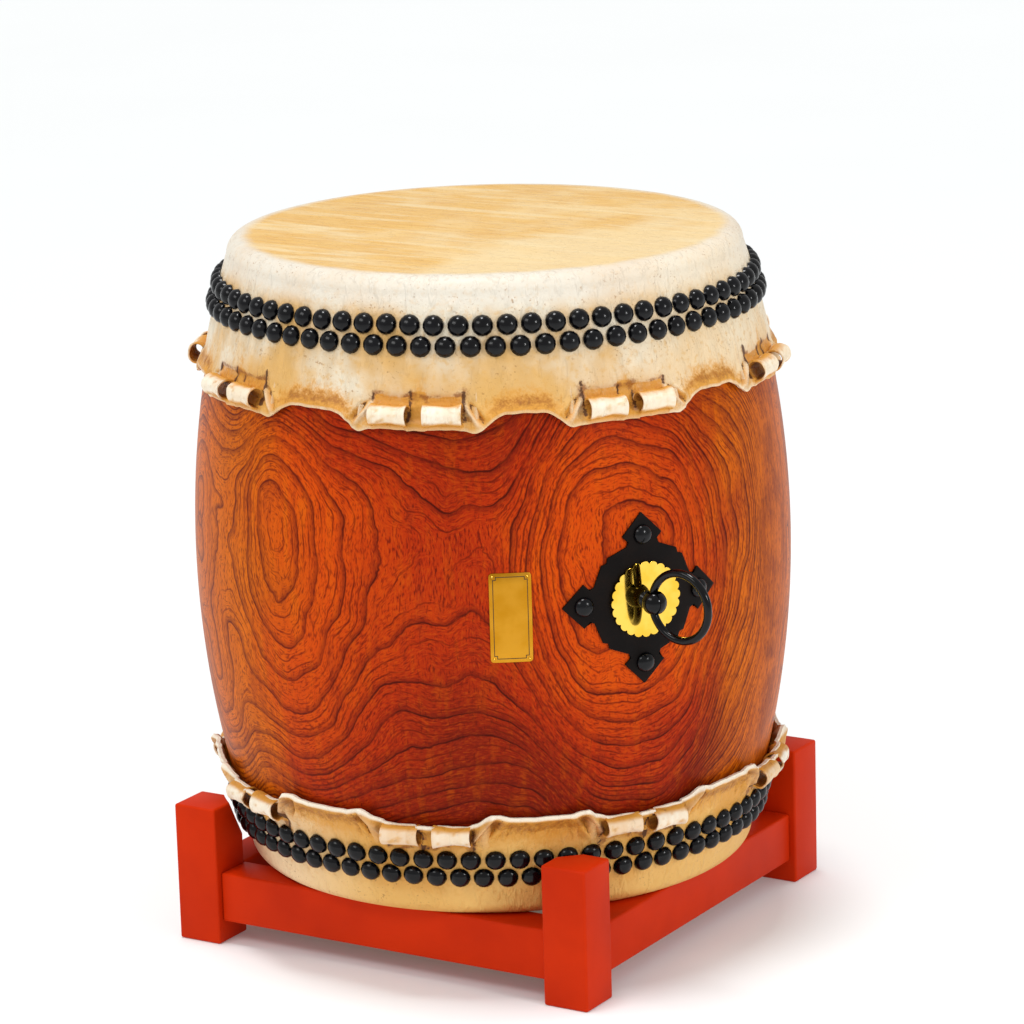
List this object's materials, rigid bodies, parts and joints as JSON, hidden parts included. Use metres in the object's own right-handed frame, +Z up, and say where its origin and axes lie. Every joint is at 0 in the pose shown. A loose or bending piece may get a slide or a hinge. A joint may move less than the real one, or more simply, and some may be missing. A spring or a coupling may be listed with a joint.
{
  "type": "long-body barrel drum on a square stand",
  "caption": "Lacquered barrel drum with tacked rawhide heads, rolled skin ears and carrying rings, standing upright in a low square wooden stand.",
  "frame": {"origin": "on the floor under the middle of the stand", "axes": "+Z up the drum's axis, -Y the stand's front side, +X the stand's right side"},
  "size_m": [0.6464, 0.5643, 0.6659],
  "materials": {
    "lacquered_zelkova": "glossy clear red lacquer over bold zelkova grain",
    "rawhide": "stiff dried cattle hide, smooth, stained ochre in the folds",
    "black_iron": "black baked lacquer on forged iron",
    "gilt_brass": "gilt sheet brass",
    "vermilion_paint": "satin vermilion paint on planed wood"
  },
  "bodies": {
    "root": {"post_front_left": "vermilion_paint", "post_front_right": "vermilion_paint", "post_back_left": "vermilion_paint", "post_back_right": "vermilion_paint", "rail_front": "vermilion_paint", "rail_right": "vermilion_paint", "rail_back": "vermilion_paint", "rail_left": "vermilion_paint"},
    "drum": {"body_shell": "lacquered_zelkova", "top_head": "rawhide", "bottom_head": "rawhide", "front_escutcheon": "black_iron", "front_washer": "gilt_brass", "front_clinch_plate": "black_iron", "front_eye_pin": "black_iron", "front_nail_top": "black_iron", "front_nail_right": "black_iron", "front_nail_bottom": "black_iron", "front_nail_left": "black_iron", "back_escutcheon": "black_iron", "back_washer": "gilt_brass", "back_clinch_plate": "black_iron", "back_eye_pin": "black_iron", "back_nail_top": "black_iron", "back_nail_right": "black_iron", "back_nail_bottom": "black_iron", "back_nail_left": "black_iron"},
    "front_ring": {"front_ring": "black_iron"},
    "back_ring": {"back_ring": "black_iron"}
  },
  "joints": [
    {"name": "drum_lift", "type": "slide", "parent": "root", "child": "drum", "axis": [0, 0, 1], "range_m": [0, 0.25]},
    {"name": "front_ring_swing", "type": "hinge", "parent": "drum", "child": "front_ring", "pos_m": [0.25985, -0.15002, 0.37065], "axis": [0, 0, 1], "range_deg": [-117, 73]},
    {"name": "back_ring_swing", "type": "hinge", "parent": "drum", "child": "back_ring", "pos_m": [-0.25985, 0.15002, 0.37065], "axis": [0, 0, 1], "range_deg": [-117, 73]}
  ]
}
